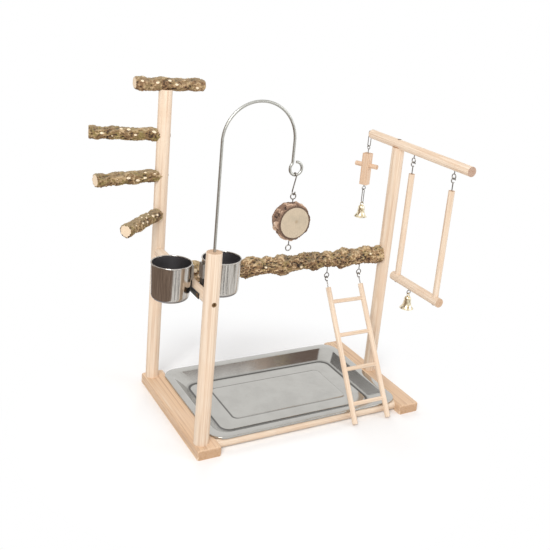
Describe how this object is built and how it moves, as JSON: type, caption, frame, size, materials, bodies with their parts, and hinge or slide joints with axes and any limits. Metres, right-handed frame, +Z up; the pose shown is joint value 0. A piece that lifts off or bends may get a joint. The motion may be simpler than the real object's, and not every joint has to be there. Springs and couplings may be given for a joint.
{
  "type": "parrot play stand",
  "caption": "Tabletop wooden play stand for parrots, with natural branch perches, steel feeding cups, drip tray, ladder, swing, hanging toy with bell, and a wire arch with a wood slice.",
  "frame": {"origin": "centre of the whole outline's bounding box, on the floor", "axes": "+X runs from the perch post's side to the swing's side, +Y from the cup post towards the tall perch post at the back, +Z up"},
  "size_m": [0.5953, 0.3856, 0.6244],
  "materials": {
    "planed_wood": "pale smooth unvarnished pine and birch dowel",
    "natural_branch": "rough bark-covered natural branch with pale knots",
    "sawn_wood": "sawn end grain",
    "bark": "rough bark",
    "toy_wood": "smooth unvarnished hardwood",
    "stainless_steel": "polished stainless steel",
    "arch_steel": "dull zinc-plated wire",
    "dark_wire": "nickel-plated wire",
    "screw_steel": "yellow-passivated screw",
    "black_steel": "black enamelled strip steel",
    "brass": "pale brass-plated bell"
  },
  "bodies": {
    "stand": {"left_base_rail": "planed_wood", "right_base_rail": "planed_wood", "front_cross_dowel": "planed_wood", "rear_cross_dowel": "planed_wood", "tall_post": "planed_wood", "cup_post": "planed_wood", "right_post": "planed_wood", "top_perch": "natural_branch", "upper_side_perch": "natural_branch", "middle_side_perch": "natural_branch", "lower_side_perch": "natural_branch", "long_branch": "natural_branch", "cross_rail": "planed_wood", "top_bar": "planed_wood", "arch_wire": "arch_steel", "base_screws": "screw_steel", "cross_rail_screws": "screw_steel", "perch_screws": "screw_steel", "branch_screws": "screw_steel", "bar_screw": "screw_steel", "ladder_screw_eyes": "dark_wire", "swing_screw_eyes": "dark_wire", "toy_screw_eye": "dark_wire", "left_cup_hanger": "black_steel", "right_cup_hanger": "black_steel", "hanger_screws": "screw_steel"},
    "tray": {"drip_tray": "stainless_steel"},
    "cup_left": {"left_cup": "stainless_steel", "left_cup_clip": "stainless_steel"},
    "cup_right": {"right_cup": "stainless_steel", "right_cup_clip": "stainless_steel"},
    "s_hook": {"slice_hook": "dark_wire"},
    "slice": {"wood_slice": "sawn_wood", "slice_bark": "bark", "slice_top_eye": "dark_wire", "slice_bottom_eye": "dark_wire"},
    "swing": {"swing_front_side": "planed_wood", "swing_rear_side": "planed_wood", "swing_perch": "planed_wood", "swing_hooks": "dark_wire", "swing_bell_eye": "dark_wire", "swing_screws": "screw_steel"},
    "bell_of_swing": {"swing_bell": "brass"},
    "clapper_of_swing": {"swing_bell_clapper": "brass"},
    "ladder": {"ladder_left_leg": "planed_wood", "ladder_right_leg": "planed_wood", "ladder_rung_1": "planed_wood", "ladder_rung_2": "planed_wood", "ladder_rung_3": "planed_wood", "ladder_rung_4": "planed_wood", "ladder_hooks": "dark_wire"},
    "upper_link": {"toy_link": "dark_wire"},
    "toy": {"toy_block": "toy_wood", "toy_peg": "toy_wood", "toy_top_eye": "dark_wire", "toy_bottom_eye": "dark_wire"},
    "lower_link": {"toy_bell_link": "dark_wire"},
    "bell_of_toy": {"toy_bell": "brass"},
    "clapper_of_toy": {"toy_bell_clapper": "brass"}
  },
  "joints": [
    {"name": "tray_lift", "type": "slide", "parent": "stand", "child": "tray", "axis": [0, 0.5478, 0.8366], "range_m": [0, 0.1]},
    {"name": "left_cup_lift", "type": "slide", "parent": "stand", "child": "cup_left", "axis": [0, 0, 1], "range_m": [0, 0.05]},
    {"name": "right_cup_lift", "type": "slide", "parent": "stand", "child": "cup_right", "axis": [0, 0, 1], "range_m": [0, 0.05]},
    {"name": "slice_hook_swing", "type": "hinge", "parent": "stand", "child": "s_hook", "pos_m": [-0.02751, -0.10543, 0.49875], "axis": [1, 0, 0], "range_deg": [-25, 25]},
    {"name": "slice_swing", "type": "hinge", "parent": "s_hook", "child": "slice", "pos_m": [-0.02751, -0.10543, 0.46455], "axis": [0, 1, 0], "range_deg": [-30, 30]},
    {"name": "swing_swing", "type": "hinge", "parent": "stand", "child": "swing", "pos_m": [0.28132, -0.08693, 0.491], "axis": [0, 1, 0], "range_deg": [-40, 40]},
    {"name": "swing_bell_swing", "type": "hinge", "parent": "swing", "child": "bell_of_swing", "pos_m": [0.28132, -0.06793, 0.2325], "axis": [1, 0, 0], "range_deg": [-30, 30]},
    {"name": "swing_clapper_swing", "type": "hinge", "parent": "bell_of_swing", "child": "clapper_of_swing", "pos_m": [0.28132, -0.06793, 0.2227], "axis": [0, 1, 0], "range_deg": [-20, 20]},
    {"name": "ladder_swing", "type": "hinge", "parent": "stand", "child": "ladder", "pos_m": [0.05832, 0.02757, 0.2455], "axis": [-1, 0, 0], "range_deg": [0, 50]},
    {"name": "upper_link_swing", "type": "hinge", "parent": "stand", "child": "upper_link", "pos_m": [0.28132, 0.12957, 0.5115], "axis": [0, 1, 0], "range_deg": [-30, 30]},
    {"name": "toy_swing", "type": "hinge", "parent": "upper_link", "child": "toy", "pos_m": [0.28132, 0.12957, 0.4883], "axis": [1, 0, 0], "range_deg": [-20, 20]},
    {"name": "lower_link_swing", "type": "hinge", "parent": "toy", "child": "lower_link", "pos_m": [0.28132, 0.12957, 0.3934], "axis": [1, 0, 0], "range_deg": [-25, 25]},
    {"name": "toy_bell_swing", "type": "hinge", "parent": "lower_link", "child": "bell_of_toy", "pos_m": [0.28132, 0.12957, 0.3641], "axis": [0, 1, 0], "range_deg": [-30, 30]},
    {"name": "toy_clapper_swing", "type": "hinge", "parent": "bell_of_toy", "child": "clapper_of_toy", "pos_m": [0.28132, 0.12957, 0.3543], "axis": [1, 0, 0], "range_deg": [-20, 20]}
  ]
}
